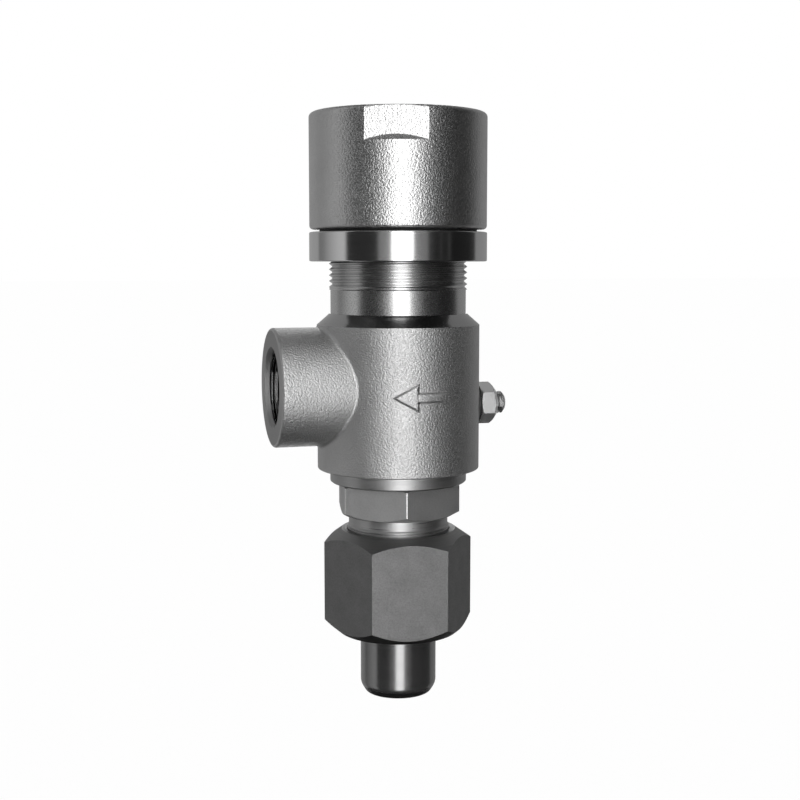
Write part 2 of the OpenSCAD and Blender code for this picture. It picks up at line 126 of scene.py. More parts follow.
# Radii, widths across flats, and the turns of the nozzle's hexagon and of the cap
STUB_R = 13.45
STUB_BORE_R = 10.25
UNION_THREAD_R = 18.0
UNION_FLATS = 46.0
NOZZLE_FLATS = 40.0
HEXAGON_TURN = 21.7
RELIEF_R = 17.5
FLANGE_R = 24.0
NECK_R = 24.0
NECK_PLAIN_R = 23.6
HOUSING_R = 19.5
CHAMBER_R = 22.5
BOSS_R = 20.5
BODY_BORE_R = 17.05
GUIDE_BORE_R = 16.05
OUTLET_LEAD_R = 14.0
OUTLET_MAJOR_R = 13.22
OUTLET_THREAD_R = 12.06
OUTLET_BORE_R = 11.0
NOZZLE_TOP_R = 17.0
BLOWDOWN_THREAD_R = 13.0
SEAT_R = 8.7
SEAT_BORE_R = 7.5
SCREW_R = 4.0
SPOT_FACE_R = 8.5
SCREW_FLATS = 13.0
SLOT_HALF = 0.6
SLOT_DEPTH = 1.1
DOME_BASE = SCREW_END - 1.2
CAP_FLATS = 57.8
CAP_TURN = 73.1
CAP_THREAD_R = NECK_R + RUNNING_GAP


def linear(hex_colour):
    """An sRGB hex colour as linear red, green, blue and alpha."""
    channels = [int(hex_colour[i:i + 2], 16) / 255 for i in (1, 3, 5)]
    return [c / 12.92 if c <= 0.04045 else ((c + 0.055) / 1.055) ** 2.4 for c in channels] + [1.0]


def add(tree, kind, inputs=None, **settings):
    """Adds one node. Inputs take a value or another node's output."""
    made = tree.nodes.new(kind)
    for key, value in settings.items():
        setattr(made, key, value)
    for key, value in (inputs or {}).items():
        if isinstance(value, bpy.types.NodeSocket):
            tree.links.new(value, made.inputs[key])
        else:
            made.inputs[key].default_value = value
    return made


# Sockets for colours on a mix node, by number, because several sockets there share a name
MIX_SHARE = 0
MIX_FIRST = 6
MIX_SECOND = 7
MIX_COLOUR = 2

# Widths of the pale and dark clouds on cast skin and on milled bar, and of the nicks on milled flats
STAIN = 9.0
BAR_STAIN = 6.0
NICK = 0.5

# The noise that varies the gloss seldom leaves this range
NOISE_LOW = 0.3
NOISE_HIGH = 0.7


def new_material(name, colour, metallic, roughness):
    """A material with its main shader, and the place on the part in millimetres."""
    material = bpy.data.materials.new(name)
    material.use_nodes = True
    tree = material.node_tree
    shader = tree.nodes["Principled BSDF"]
    shader.inputs["Base Color"].default_value = linear(colour)
    shader.inputs["Metallic"].default_value = metallic
    shader.inputs["Roughness"].default_value = roughness
    place = add(tree, "ShaderNodeTexCoord").outputs["Object"]
    in_mm = add(tree, "ShaderNodeVectorMath", {0: place, "Scale": 1 / MM}, operation="SCALE").outputs[0]
    return material, tree, shader, in_mm


def cast_stainless(name, pebble, depth, roughness, dark, light):
    """Investment-cast stainless steel, shot blasted: a grey skin of small soft pebbles that glint."""
    material, tree, shader, place = new_material(name, light, 1.0, roughness)
    grit = {"Vector": place, "Scale": 1 / pebble, "Detail": 0.8}
    pebbles = add(tree, "ShaderNodeTexNoise", grit).outputs["Fac"]
    stains = {"Vector": place, "Scale": 1 / STAIN, "Detail": 3.0}
    clouds = add(tree, "ShaderNodeTexNoise", stains).outputs["Fac"]
    bump = add(tree, "ShaderNodeBump", {"Height": pebbles, "Distance": depth * MM, "Strength": 1.0})
    tree.links.new(bump.outputs["Normal"], shader.inputs["Normal"])
    shades = {MIX_SHARE: clouds, MIX_FIRST: linear(dark), MIX_SECOND: linear(light)}
    tint = add(tree, "ShaderNodeMix", shades, data_type="RGBA")
    tree.links.new(tint.outputs[MIX_COLOUR], shader.inputs["Base Color"])
    spread = {"Value": pebbles, "From Min": NOISE_LOW, "From Max": NOISE_HIGH,
              "To Min": roughness * 0.85, "To Max": roughness * 1.15}
    gloss = add(tree, "ShaderNodeMapRange", spread)
    tree.links.new(gloss.outputs["Result"], shader.inputs["Roughness"])
    return material


def round_the_axis(tree, place, axis, around, along):
    """Place stretched into rings round an axis, for marks that a lathe tool leaves."""
    parts = add(tree, "ShaderNodeSeparateXYZ", {"Vector": place}).outputs
    across = [parts[i] for i in range(3) if i != axis]
    angle = add(tree, "ShaderNodeMath", {0: across[0], 1: across[1]}, operation="ARCTAN2").outputs[0]
    flat = add(tree, "ShaderNodeCombineXYZ", {"X": across[0], "Y": across[1]}).outputs[0]
    radius = add(tree, "ShaderNodeVectorMath", {0: flat}, operation="LENGTH").outputs["Value"]
    turn = add(tree, "ShaderNodeMath", {0: angle, 1: around}, operation="MULTIPLY").outputs[0]
    out = add(tree, "ShaderNodeMath", {0: radius, 1: 1 / along}, operation="MULTIPLY").outputs[0]
    up = add(tree, "ShaderNodeMath", {0: parts[axis], 1: 1 / along}, operation="MULTIPLY").outputs[0]
    return add(tree, "ShaderNodeCombineXYZ", {"X": turn, "Y": out, "Z": up}).outputs[0]


def turned_stainless(name, colour, roughness, groove, depth, axis=2, stretch=0.6, metallic=1.0):
    """Stainless steel off the lathe, with fine rings every groove millimetres that smear the light."""
    material, tree, shader, place = new_material(name, colour, metallic, roughness)
    shader.inputs["Anisotropic"].default_value = stretch
    rings = round_the_axis(tree, place, axis, around=0.6, along=groove)
    marks = add(tree, "ShaderNodeTexNoise", {"Vector": rings, "Scale": 1.0, "Detail": 3.0}).outputs["Fac"]
    bump = add(tree, "ShaderNodeBump", {"Height": marks, "Distance": depth * MM, "Strength": 1.0})
    tree.links.new(bump.outputs["Normal"], shader.inputs["Normal"])
    spread = {"Value": marks, "From Min": NOISE_LOW, "From Max": NOISE_HIGH,
              "To Min": roughness * 0.8, "To Max": roughness * 1.25}
    gloss = add(tree, "ShaderNodeMapRange", spread)
    tree.links.new(gloss.outputs["Result"], shader.inputs["Roughness"])
    tangent = add(tree, "ShaderNodeTangent", direction_type="RADIAL", axis="XYZ"[axis])
    tree.links.new(tangent.outputs[0], shader.inputs["Tangent"])
    return material


def milled_stainless(name, dark, light, roughness, depth=0.004):
    """Stainless steel bar with milled and tumbled flats: satin, with faint clouds and small nicks."""
    material, tree, shader, place = new_material(name, light, 1.0, roughness)
    stains = {"Vector": place, "Scale": 1 / BAR_STAIN, "Detail": 4.0}
    clouds = add(tree, "ShaderNodeTexNoise", stains).outputs["Fac"]
    nicks = {"Vector": place, "Scale": 1 / NICK, "Detail": 3.0}
    grain = add(tree, "ShaderNodeTexNoise", nicks).outputs["Fac"]
    bump = add(tree, "ShaderNodeBump", {"Height": grain, "Distance": depth * MM, "Strength": 1.0})
    tree.links.new(bump.outputs["Normal"], shader.inputs["Normal"])
    shades = {MIX_SHARE: clouds, MIX_FIRST: linear(dark), MIX_SECOND: linear(light)}
    tint = add(tree, "ShaderNodeMix", shades, data_type="RGBA")
    tree.links.new(tint.outputs[MIX_COLOUR], shader.inputs["Base Color"])
    spread = {"Value": grain, "From Min": NOISE_LOW, "From Max": NOISE_HIGH,
              "To Min": roughness * 0.85, "To Max": roughness * 1.2}
    gloss = add(tree, "ShaderNodeMapRange", spread)
    tree.links.new(gloss.outputs["Result"], shader.inputs["Roughness"])
    return material


def grained(name, metallic, roughness, dark, light, stain, stain_detail, grain, depth):
    """A surface with stains and a finer grain, each given by its width in millimetres."""
    material, tree, shader, place = new_material(name, light, metallic, roughness)
    stains = {"Vector": place, "Scale": 1 / stain, "Detail": stain_detail}
    clouds = add(tree, "ShaderNodeTexNoise", stains).outputs["Fac"]
    shades = {MIX_SHARE: clouds, MIX_FIRST: linear(dark), MIX_SECOND: linear(light)}
    tint = add(tree, "ShaderNodeMix", shades, data_type="RGBA")
    tree.links.new(tint.outputs[MIX_COLOUR], shader.inputs["Base Color"])
    grains = {"Vector": place, "Scale": 1 / grain, "Detail": 2.0}
    fine = add(tree, "ShaderNodeTexNoise", grains).outputs["Fac"]
    bump = add(tree, "ShaderNodeBump", {"Height": fine, "Distance": depth * MM, "Strength": 1.0})
    tree.links.new(bump.outputs["Normal"], shader.inputs["Normal"])
    return material


def plain_metal(name, dark, light, roughness):
    """A small metal piece inside the valve, machined and lightly stained."""
    return grained(name, 1.0, roughness, dark, light, stain=3.0, stain_detail=3.0, grain=0.4, depth=0.003)


def soft_sheet(name, dark, light, roughness):
    """Gasket sheet or soft plastic: no metal, dull, with a fine grain."""
    return grained(name, 0.0, roughness, dark, light, stain=0.6, stain_detail=4.0, grain=0.25, depth=0.01)


MATERIALS = {
    # Shot-blasted investment casting: the body is duller than the cap
    "cast_body": cast_stainless("cast_stainless_body", pebble=0.56, depth=0.17, roughness=0.52,
                                dark="#bababa", light="#cccccc"),
    "cast_cap": cast_stainless("cast_stainless_cap", pebble=0.56, depth=0.15, roughness=0.36,
                               dark="#c0c0c0", light="#d2d2d2"),
    # Finely turned steps of the casting: clear bright and dark bands
    "shoulder": turned_stainless("turned_stainless_shoulder", "#a6a6a6", roughness=0.15, groove=0.12,
                                 depth=0.001, stretch=0.0),
    "neck": turned_stainless("turned_stainless_neck", "#c8c8c8", roughness=0.2, groove=0.12, depth=0.002),
    # Plain neck with a torn cut: the light breaks up in small grains
    "rough_neck": cast_stainless("rough_turned_stainless_neck", pebble=0.4, depth=0.014, roughness=0.27,
                                 dark="#bcbcbc", light="#cccccc"),
    # Polished lock ring: the sharpest reflections of the valve
    "ring": turned_stainless("polished_stainless_ring", "#d0d0d0", roughness=0.12, groove=0.1, depth=0.001),
    # Nozzle's flange and neck, turned with a coarser feed: soft, with rings that show
    "flange": turned_stainless("turned_stainless_flange", "#acacac", roughness=0.33, groove=0.3,
                               depth=0.005, stretch=0.7),
    # Drawn tube under a thin oxide skin: dark, with one long soft streak
    "nipple": turned_stainless("drawn_stainless_stub", "#848484", roughness=0.21, groove=0.4, depth=0.0003,
                               stretch=0.0, metallic=0.91),
    # Faced outlet, its rougher lead-in chamfer and the tapped bore behind it, all turned round X
    "mouth": turned_stainless("turned_stainless_mouth", "#8c8c8c", roughness=0.34, groove=0.15,
                              depth=0.003, axis=0),
    "chamfer": turned_stainless("turned_stainless_chamfer", "#b4b4b4", roughness=0.55, groove=0.2,
                                depth=0.004, axis=0, stretch=0.0),
    "bore": turned_stainless("tapped_stainless_bore", "#b0b0b0", roughness=0.12, groove=0.15,
                             depth=0.002, axis=0),
    # Rolled thread of the set screw: burnished flanks
    "screw": turned_stainless("rolled_stainless_screw", "#cccccc", roughness=0.25, groove=0.15,
                              depth=0.002, axis=0),
    # Large nut milled from bar and tumbled: dull dark flats, with turned ends
    "union": milled_stainless("milled_stainless_union", "#7a7a7a", "#8f8f8f", roughness=0.6),
    "union_end": turned_stainless("turned_stainless_union_end", "#8e8e8e", roughness=0.45, groove=0.3,
                                  depth=0.004, stretch=0.7),
    # Nozzle's hexagon, a lighter satin. Its side corners, all but the front one, get a smoother finish with a
    # much lighter colour: rubbed edges, and a painted highlight along them
    "hexagon": milled_stainless("milled_stainless_hexagon", "#b9b9b9", "#cdcdcd", roughness=0.58),
    "rubbed_edge_and_highlight": milled_stainless("rubbed_stainless_edge_painted_highlight", "#e4e4e4", "#f0f0f0", roughness=0.2,
                                  depth=0.001),
    # Small bright nut, tumbled and passivated: nearly white flats
    "screw_nut": milled_stainless("bright_stainless_nut", "#f0f0f0", "#fafafa", roughness=0.46),
    # Pieces inside the valve
    "inner": plain_metal("machined_stainless_inner", "#8d8d8d", "#a5a5a5", roughness=0.3),
    "bronze": plain_metal("turned_bronze", "#8a6a42", "#a98352", roughness=0.32),
    "copper": plain_metal("annealed_copper", "#8f5c40", "#b0785a", roughness=0.38),
    "spring": plain_metal("drawn_spring_wire", "#6c6c6e", "#808083", roughness=0.35),
    "graphite": soft_sheet("graphite_sheet", "#171717", "#242424", roughness=0.6),
    "ptfe": soft_sheet("ptfe_insert", "#dcdcd8", "#ececea", roughness=0.45),
}


def soften(corners, steps=5):
    """An outline from (radius, height, round) corners, with a point just beside each rounded corner's arc."""
    beside = 1.08
    points = [complex(r, z) for r, z, _ in corners]
    outline = [points[0]]
    for i in range(1, len(points) - 1):
        here, edge = points[i], corners[i][2]
        back, ahead = points[i - 1] - here, points[i + 1] - here
        if not edge:
            outline.append(here)
            continue
        turn = abs(cmath.phase(ahead / back))
        reach = min(edge / math.tan(turn / 2), 0.45 * abs(back), 0.45 * abs(ahead))
        back, ahead = back / abs(back), ahead / abs(ahead)
        if abs(back + ahead) < 0.001:
            # A straight corner gets as many points as a bent one, so that every column has the same number
            outline += [here + back * edge * 0.1 * (1 - 2 * k / (steps + 2)) for k in range(steps + 3)]
            continue
        middle = (back + ahead) / abs(back + ahead)
        centre = here + middle * reach / math.cos(turn / 2)
        first, last = here + back * reach - centre, here + ahead * reach - centre
        sweep = cmath.phase(last / first)
        outline.append(here + back * reach * beside)
        outline += [centre + first * cmath.exp(1j * sweep * k / steps) for k in range(steps + 1)]
        outline.append(here + ahead * reach * beside)
    outline.append(points[-1])
    return [(p.real, p.imag) for p in outline]


def point_round(axis, angle, radius, height):
    """A point round the valve axis (2), or round an axis along X (0) with its height along X."""
    across, up = radius * math.cos(math.radians(angle)), radius * math.sin(math.radians(angle))
    return (across, up, height) if axis == 2 else (height, across, up)


def make_piece(name, sheets, material, body, replaced=(), slot=None, closed=True, centre=(0, 0, 0)):
    """One smooth skin from sheets, each a row of columns of points. It rides on a body, if one is named."""
    mesh = bmesh.new()
    for sheet in sheets:
        rows = [[mesh.verts.new((Vector(p) + Vector(centre)) * MM) for p in column] for column in sheet]
        for i in range(len(rows) if closed else len(rows) - 1):
            left, right = rows[i], rows[(i + 1) % len(rows)]
            for j in range(len(left) - 1):
                mesh.faces.new((left[j], left[j + 1], right[j + 1], right[j]))
    bmesh.ops.remove_doubles(mesh, verts=mesh.verts, dist=1e-7)
    bmesh.ops.dissolve_degenerate(mesh, edges=mesh.edges, dist=1e-7)
    bmesh.ops.recalc_face_normals(mesh, faces=mesh.faces)
    for face in mesh.faces:
        face.smooth = True
    data = bpy.data.meshes.new(name)
    mesh.to_mesh(data)
    mesh.free()
    piece = bpy.data.objects.new(name, data)
    bpy.context.scene.collection.objects.link(piece)
    data.materials.append(MATERIALS[material])
    if body:
        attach(piece, body)
    if replaced:
        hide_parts(*replaced)
    return piece


def ring_of_wire(turns, share=1.0, sides=16):
    """The spring's wire cut across after a number of turns. Its ends lie closed and are ground flat."""
    closed = min(turns, CLOSED_TURNS) + max(turns - COIL_TURNS + CLOSED_TURNS, 0)
    open_rise = SPRING_TOP - SPRING_BASE - 1.8 * WIRE_R * (1 + CLOSED_TURNS)
    opened = min(max((turns - CLOSED_TURNS) / (COIL_TURNS - 2 * CLOSED_TURNS), 0), 1)
    heart = SPRING_BASE + 0.9 * WIRE_R * (1 + closed) + open_rise * opened
    ring = []
    for k in range(sides + 1):
        turn = 2 * math.pi * k / sides
        height = min(max(heart + share * WIRE_R * math.sin(turn), SPRING_BASE), SPRING_TOP)
        ring.append(point_round(2, 360 * turns, COIL_R + share * WIRE_R * math.cos(turn), height))
    return ring


def turned_piece(name, corners, material, body, axis=2, steps=160, **more):
    """A lathe piece from its half outline."""
    outline = soften(corners)
    columns = [[point_round(axis, 360 * i / steps, r, z) for r, z in outline] for i in range(steps)]
    return make_piece(name, [columns], material, body, **more)


def hexagon_angles(flats, edge):
    """(angle, radius) pairs round a hexagon whose corners are rounded, with the first corner at 0."""
    apothem = flats / 2
    corner = (apothem - edge) / math.cos(math.radians(30))
    blend = math.degrees(math.atan2(edge * 0.5, corner + edge * math.cos(math.radians(30))))
    # One corner and the face after it, with a point close beside each rounded corner
    turns = [blend * k / 4 for k in range(-4, 5)]
    turns += [blend + 0.6] + [blend + 2 + (56 - 2 * blend) * k / 10 for k in range(11)] + [60 - blend - 0.6]
    pairs = []
    for face in range(6):
        for turn in turns:
            lean = math.radians(turn)
            if abs(turn) <= blend + 1e-9:
                side = corner * math.sin(lean)
                radius = corner * math.cos(lean) + math.sqrt(max(edge ** 2 - side ** 2, 0))
            else:
                radius = apothem / math.cos(math.radians(turn - 30))
            pairs.append((60 * face + turn, radius))
    return pairs


def refinish(piece, material, chosen):
    """Gives a second finish to the faces whose normal passes a test."""
    piece.data.materials.append(MATERIALS[material])
    number = len(piece.data.materials) - 1
    for face in piece.data.polygons:
        if chosen(face.normal):
            face.material_index = number


def nut_piece(name, flats, base, top, top_flat, low_flat, top_angle, low_angle, bore, turn, material, body,
              axis=2, edge=0.5, crease=0.18, inside=(), **more):
    """A hexagon with a bore and turned chamfers, which start at the radii top_flat and low_flat.

    bore holds the hole's radius at the base and at the top, and inside holds more corners down the hole.
    """
    columns = []
    for angle, radius in hexagon_angles(flats, edge):
        drop = (radius - top_flat) * math.tan(math.radians(top_angle))
        rise = (radius - low_flat) * math.tan(math.radians(low_angle))
        corners = [(bore[0], base, 0), (low_flat, base, crease), (radius, base + rise, crease),
                   (radius, top - drop, crease), (top_flat, top, crease), (bore[1] + crease, top, crease)]
        corners += [(bore[1], top - crease, 0)] + list(inside)
        columns.append([point_round(axis, angle + turn, r, z) for r, z in soften(corners, 3)])
    return make_piece(name, [columns], material, body, **more)


def thread_piece(name, major, depth, pitch, low, high, material, body, axis=2, inner=False, steps=160,
                 runout=(1.0, 1.0), **more):
    """A right-hand V thread between two heights, which fades out over its runout at both ends."""
    # (share of the pitch, share of the depth) from one crest to the next
    profile = [(0.0, 0.0), (0.07, 0.0), (0.11, 0.1), (0.42, 0.93), (0.46, 1.0), (0.57, 1.0), (0.61, 0.93),
               (0.92, 0.1), (0.96, 0.0)]
    turns = int((high - low) / pitch) + 2
    columns = []
    for i in range(steps + 1):
        column = []
        for k in range(turns):
            for share, cut in profile:
                height = low + pitch * (k - 1 + share + i / steps)
                fade = min(1, max(0, (height - low) / runout[0]), max(0, (high - height) / runout[1]))
                sunk = cut * depth * fade
                place = min(max(height, low), high)
                radius = major - depth + sunk if inner else major - sunk
                column.append(point_round(axis, 360 * i / steps, radius, place))
        columns.append(column)
    return make_piece(name, [columns], material, body, closed=False, **more)


# Below 1, columns on a pierced wall put their points closer together near the hole
CROWD_TO_HOLE = 0.8


def pierced_wall(radius, hole, fillet, low, high, middle, half, spacing=1.5, steps=30):
    """Columns over a cylinder's -X side, from its rim to a round hole and down a fillet, each with its angle.

    middle is the hole's height, and half is how far the wall reaches to each side along its curve.
    """
    across, up = int(2 * half / spacing), int((high - low) / spacing)
    rim = [(-half + 2 * half * k / across, high) for k in range(across)]
    rim += [(half, high - (high - low) * k / up) for k in range(up)]
    rim += [(half - 2 * half * k / across, low) for k in range(across)]
    rim += [(-half, low + (high - low) * k / up) for k in range(up)]
    columns = []
    for u, z in rim:
        lean = math.atan2(u, z - middle)
        curve = min(fillet, (high - middle) / max(math.cos(lean), 0.01) - hole - 0.1)
        side, rise = (hole + curve) * math.sin(lean), (hole + curve) * math.cos(lean)
        out = math.sqrt((radius + curve) ** 2 - side ** 2)
        touch = math.atan2(side, out) * radius
        column = []
        for k in range(steps + 1):
            share = (k / steps) ** CROWD_TO_HOLE
            turn = (u + (touch - u) * share) / radius
            height = z + (middle + rise - z) * share
            column.append((-radius * math.cos(turn), radius * math.sin(turn), height))
        if curve > 0:
            first = Vector((out, -side, 0)).normalized()
            last = Vector((0, -math.sin(lean), -math.cos(lean)))
            centre = Vector((-out, side, middle + rise))
            column += [centre + first.slerp(last, k / 8) * curve for k in range(1, 9)]
        columns.append((lean, column))
    return columns


def cast_body():
    """The casting's skin: cylinder, filleted outlet boss, milled spot face and the round lower edge."""
    half = math.pi * BODY_R / 2
    low = BODY_BASE + BASE_EDGE
    outlet_side = []
    for lean, column in pierced_wall(BODY_R, BOSS_R, BOSS_FILLET, low, CAST_TOP, OUTLET_Z, half):
        start, end = column[-1][0] - 0.1, BOSS_EDGE * 1.1 - OUTLET_REACH
        tube = [(start, BOSS_R)] + [(start - 0.3 + (end + 0.3 - start) * k / 12, BOSS_R) for k in range(13)]
        for k in range(7):
            turn = math.radians(15 * k)
            tube.append((BOSS_EDGE - OUTLET_REACH - BOSS_EDGE * math.sin(turn),
                         BOSS_R - BOSS_EDGE + BOSS_EDGE * math.cos(turn)))
        outlet_side.append(column + [(x, r * math.sin(lean), OUTLET_Z + r * math.cos(lean)) for x, r in tube])
    face = span("set_screw_washer", 0)[0]
    screw_side = []
    for lean, column in pierced_wall(BODY_R, SPOT_FACE_R, 0, low, CAST_TOP, SCREW_Z, half):
        pad = [(SPOT_FACE_R - 0.06, -face), (SPOT_FACE_R - 0.3, -face), (SCREW_R, -face)]
        column += [(x, r * math.sin(lean), SCREW_Z + r * math.cos(lean)) for r, x in pad]
        screw_side.append([(-x, -y, z) for x, y, z in column])
    make_piece("cast_body", [outlet_side, screw_side], "cast_body", "valve", replaced=["body"],
               slot="cast_stainless")
    foot = [(BODY_R, low + 0.3, 0), (BODY_R, BODY_BASE, BASE_EDGE), (BODY_BORE_R, BODY_BASE, 0)]
    turned_piece("cast_foot", foot, "cast_body", "valve", slot="cast_stainless")


def machined_neck():
    """Shoulder, plain neck, thread and spring housing, all turned."""
    shoulder = [(BODY_R, CAST_TOP - 0.02, 0), (BODY_R, CAST_TOP, 0.1), (NECK_R, SHOULDER_TOP, 0.15),
                (NECK_PLAIN_R, SHOULDER_TOP, 0)]
    turned_piece("turned_shoulder", shoulder, "shoulder", "valve", slot="turned_stainless")
    plain = [(NECK_PLAIN_R, SHOULDER_TOP, 0), (NECK_PLAIN_R, THREAD_BASE, 0)]
    turned_piece("turned_neck", plain, "rough_neck", "valve", slot="turned_stainless")
    thread_piece("neck_thread", NECK_R, depth=1.0, pitch=NECK_PITCH, low=THREAD_BASE, high=NECK_TOP - 1,
                 material="neck", body="valve", runout=(1.2, 0.6), slot="turned_stainless")
    housing = [(NECK_R, NECK_TOP - 1, 0), (NECK_R - 1, NECK_TOP, 0.1), (HOUSING_R, NECK_TOP, 0.2),
               (HOUSING_R, SHELF_TOP, 0.2), (GUIDE_BORE_R, SHELF_TOP, 0.1), (GUIDE_BORE_R, CHAMBER_TOP, 0.1),
               (CHAMBER_R, CHAMBER_TOP, 0)]
    turned_piece("spring_housing", housing, "neck", "valve", slot="turned_stainless")


def chamber():
    """The outlet chamber inside the casting, with its floor and the bore that leads out."""
    wall = []
    for lean, column in pierced_wall(CHAMBER_R, OUTLET_BORE_R, 0, CHAMBER_BASE, CHAMBER_TOP, OUTLET_Z,
                                     math.pi * CHAMBER_R, spacing=3.0, steps=16):
        end = (OUTLET_STEP, OUTLET_BORE_R * math.sin(lean), OUTLET_Z + OUTLET_BORE_R * math.cos(lean))
        wall.append(column + [end])
    make_piece("chamber_wall", [wall], "bore", "valve", slot="turned_stainless")
    floor = [(CHAMBER_R, CHAMBER_BASE, 0), (BODY_BORE_R, CHAMBER_BASE, 0.2), (BODY_BORE_R, BODY_BASE, 0)]
    turned_piece("chamber_floor", floor, "bore", "valve", slot="turned_stainless")


def outlet_mouth():
    """The machined outlet face, its lead-in chamfer, the thread and the step down to the bore."""
    at_outlet = {"axis": 0, "centre": (0, 0, OUTLET_Z), "slot": "turned_stainless"}
    face = [(BOSS_R - BOSS_EDGE, -OUTLET_REACH, 0), (OUTLET_LEAD_R, -OUTLET_REACH, 0.12),
            (OUTLET_MAJOR_R - 0.02, -OUTLET_REACH + 1.7, 0)]
    mouth = turned_piece("outlet_face", face, "mouth", "valve", **at_outlet)
    refinish(mouth, "chamfer", lambda normal: normal.x > -0.9)
    thread_piece("outlet_thread", OUTLET_MAJOR_R, depth=OUTLET_MAJOR_R - OUTLET_THREAD_R, pitch=OUTLET_PITCH,
                 low=-OUTLET_REACH + 1.6, high=OUTLET_STEP, material="bore", body="valve", inner=True,
                 runout=(0.4, 1.5), **at_outlet)
    step = [(OUTLET_THREAD_R, OUTLET_STEP, 0), (OUTLET_BORE_R, OUTLET_STEP, 0)]
    turned_piece("outlet_step", step, "bore", "valve", **at_outlet)


def flow_arrow():
    """A plain raised arrow towards the outlet, cast on the front."""
    length, head, half_head, half_shaft = 19.0, 8.5, 4.6, 1.6
    middle_turn = math.radians(TOWARD_CAMERA + 16.2)
    middle_z = 108.1
    height, sunk, cell, margin = 0.8, 0.06, 0.25, 4
    slope = math.hypot(head, half_head)

    def inside(u, v):
        """How deep a place lies in the arrow: u runs from its tail, v across it."""
        in_shaft = min(u, half_shaft - abs(v), length - head + 0.5 - u)
        in_head = min(u - (length - head), ((length - u) * half_head - abs(v) * head) / slope)
        return max(in_shaft, in_head)

    across, up = int(length / cell) + 2 * margin, int(2 * half_head / cell) + 2 * margin
    columns = []
    for i in range(across + 1):
        u = (i - margin) * cell
        column = []
        for j in range(up + 1):
            v = (j - margin) * cell - half_head
            share = min(max(inside(u, v) + 0.4, 0), 1)
            rise = -sunk + (height + sunk) * share * share * (3 - 2 * share)
            turn = middle_turn - (u - length / 2) / BODY_R
            r = BODY_R + rise
            column.append((r * math.cos(turn), r * math.sin(turn), middle_z + v))
        columns.append(column)
    make_piece("flow_arrow", [columns], "cast_body", "valve", slot="cast_stainless", closed=False)


def nozzle():
    """Union thread, relief neck with its lip, hexagon, bright flange and the part inside the body."""
    lip = RELIEF_BASE + 0.3
    neck = [(STUB_BORE_R, NOZZLE_BASE, 0), (UNION_THREAD_R - 1, NOZZLE_BASE, 0.1),
            (UNION_THREAD_R, NOZZLE_BASE + 1, 0.1), (UNION_THREAD_R, lip - 0.2, 0.2),
            (RELIEF_R + 0.1, lip, 0.1), (UNION_THREAD_R, lip + 0.3, 0.2),
            (UNION_THREAD_R - 0.05, lip + 0.6, 0.3), (RELIEF_R, lip + 1.2, 0.6),
            (RELIEF_R, HEX_BASE, 0.3), (RELIEF_R + 1.5, HEX_BASE + 0.02, 0)]
    turned_piece("nozzle_neck", neck, "flange", "valve", replaced=["nozzle"], slot="turned_stainless")

    hexagon = nut_piece("nozzle_hexagon", NOZZLE_FLATS, HEX_BASE, FLANGE_BASE, top_flat=21.4, low_flat=19.4,
                        top_angle=20, low_angle=30, bore=(RELIEF_R, 20.0), turn=HEXAGON_TURN,
                        material="hexagon", body="valve", edge=0.5, slot="turned_stainless")

    def on_corner(normal):
        """Whether a face lies on a rounded corner, which gets the painted edge highlight. The front corner,
        at 240, keeps the flats' finish.
        """
        turn = (math.degrees(math.atan2(normal.y, normal.x)) - HEXAGON_TURN) % 360
        return abs(normal.z) < 0.05 and abs(turn % 60 - 30) > 4 and abs(turn - 240) > 35

    # The corners' smoother, much lighter finish: rubbed edges with a painted highlight along them
    refinish(hexagon, "rubbed_edge_and_highlight", on_corner)

    flange = [(20.5, FLANGE_BASE - 0.05, 0), (FLANGE_R - 0.6, FLANGE_BASE - 0.05, 0.2),
              (FLANGE_R, FLANGE_BASE + 0.4, 0.3), (FLANGE_R, GASKET_BASE, 0.15),
              (NOZZLE_TOP_R, GASKET_BASE, 0)]
    turned_piece("nozzle_flange", flange, "flange", "valve", slot="turned_stainless")

    seat_foot = SEAT_Z - 1.2
    upper = [(NOZZLE_TOP_R, GASKET_BASE, 0), (NOZZLE_TOP_R, CHAMBER_BASE - 1, 0.1),
             (NOZZLE_TOP_R - 1, CHAMBER_BASE, 0.1), (BLOWDOWN_THREAD_R, CHAMBER_BASE, 0.2),
             (BLOWDOWN_THREAD_R, seat_foot, 0.4), (SEAT_R, seat_foot, 0.1), (SEAT_R, SEAT_Z, 0.1),
             (SEAT_BORE_R, SEAT_Z, 0.1), (SEAT_BORE_R, NOZZLE_BASE + 12, 0.5), (STUB_BORE_R, NOZZLE_BASE, 0)]
    turned_piece("nozzle_seat", upper, "flange", "valve", slot="turned_stainless")


def union_nut():
    """The large hexagon nut with its web and thread."""
    bore, stub_hole = UNION_THREAD_R + RUNNING_GAP, STUB_R + RUNNING_GAP
    inside = [(bore, NUT_WEB_TOP, 0.1), (stub_hole, NUT_WEB_TOP, 0.1), (stub_hole, UNION_BASE, 0)]
    half = UNION_FLATS / 2
    nut = nut_piece("union_hexagon", UNION_FLATS, UNION_BASE, UNION_TOP, top_flat=half - 2.8,
                    low_flat=half - 1.75, top_angle=35, low_angle=40, bore=(stub_hole, bore), turn=54.6,
                    material="union", body="union", edge=0.4, inside=inside, replaced=["union_nut"],
                    slot="milled_stainless")
    refinish(nut, "union_end", lambda normal: abs(normal.z) > 0.2)


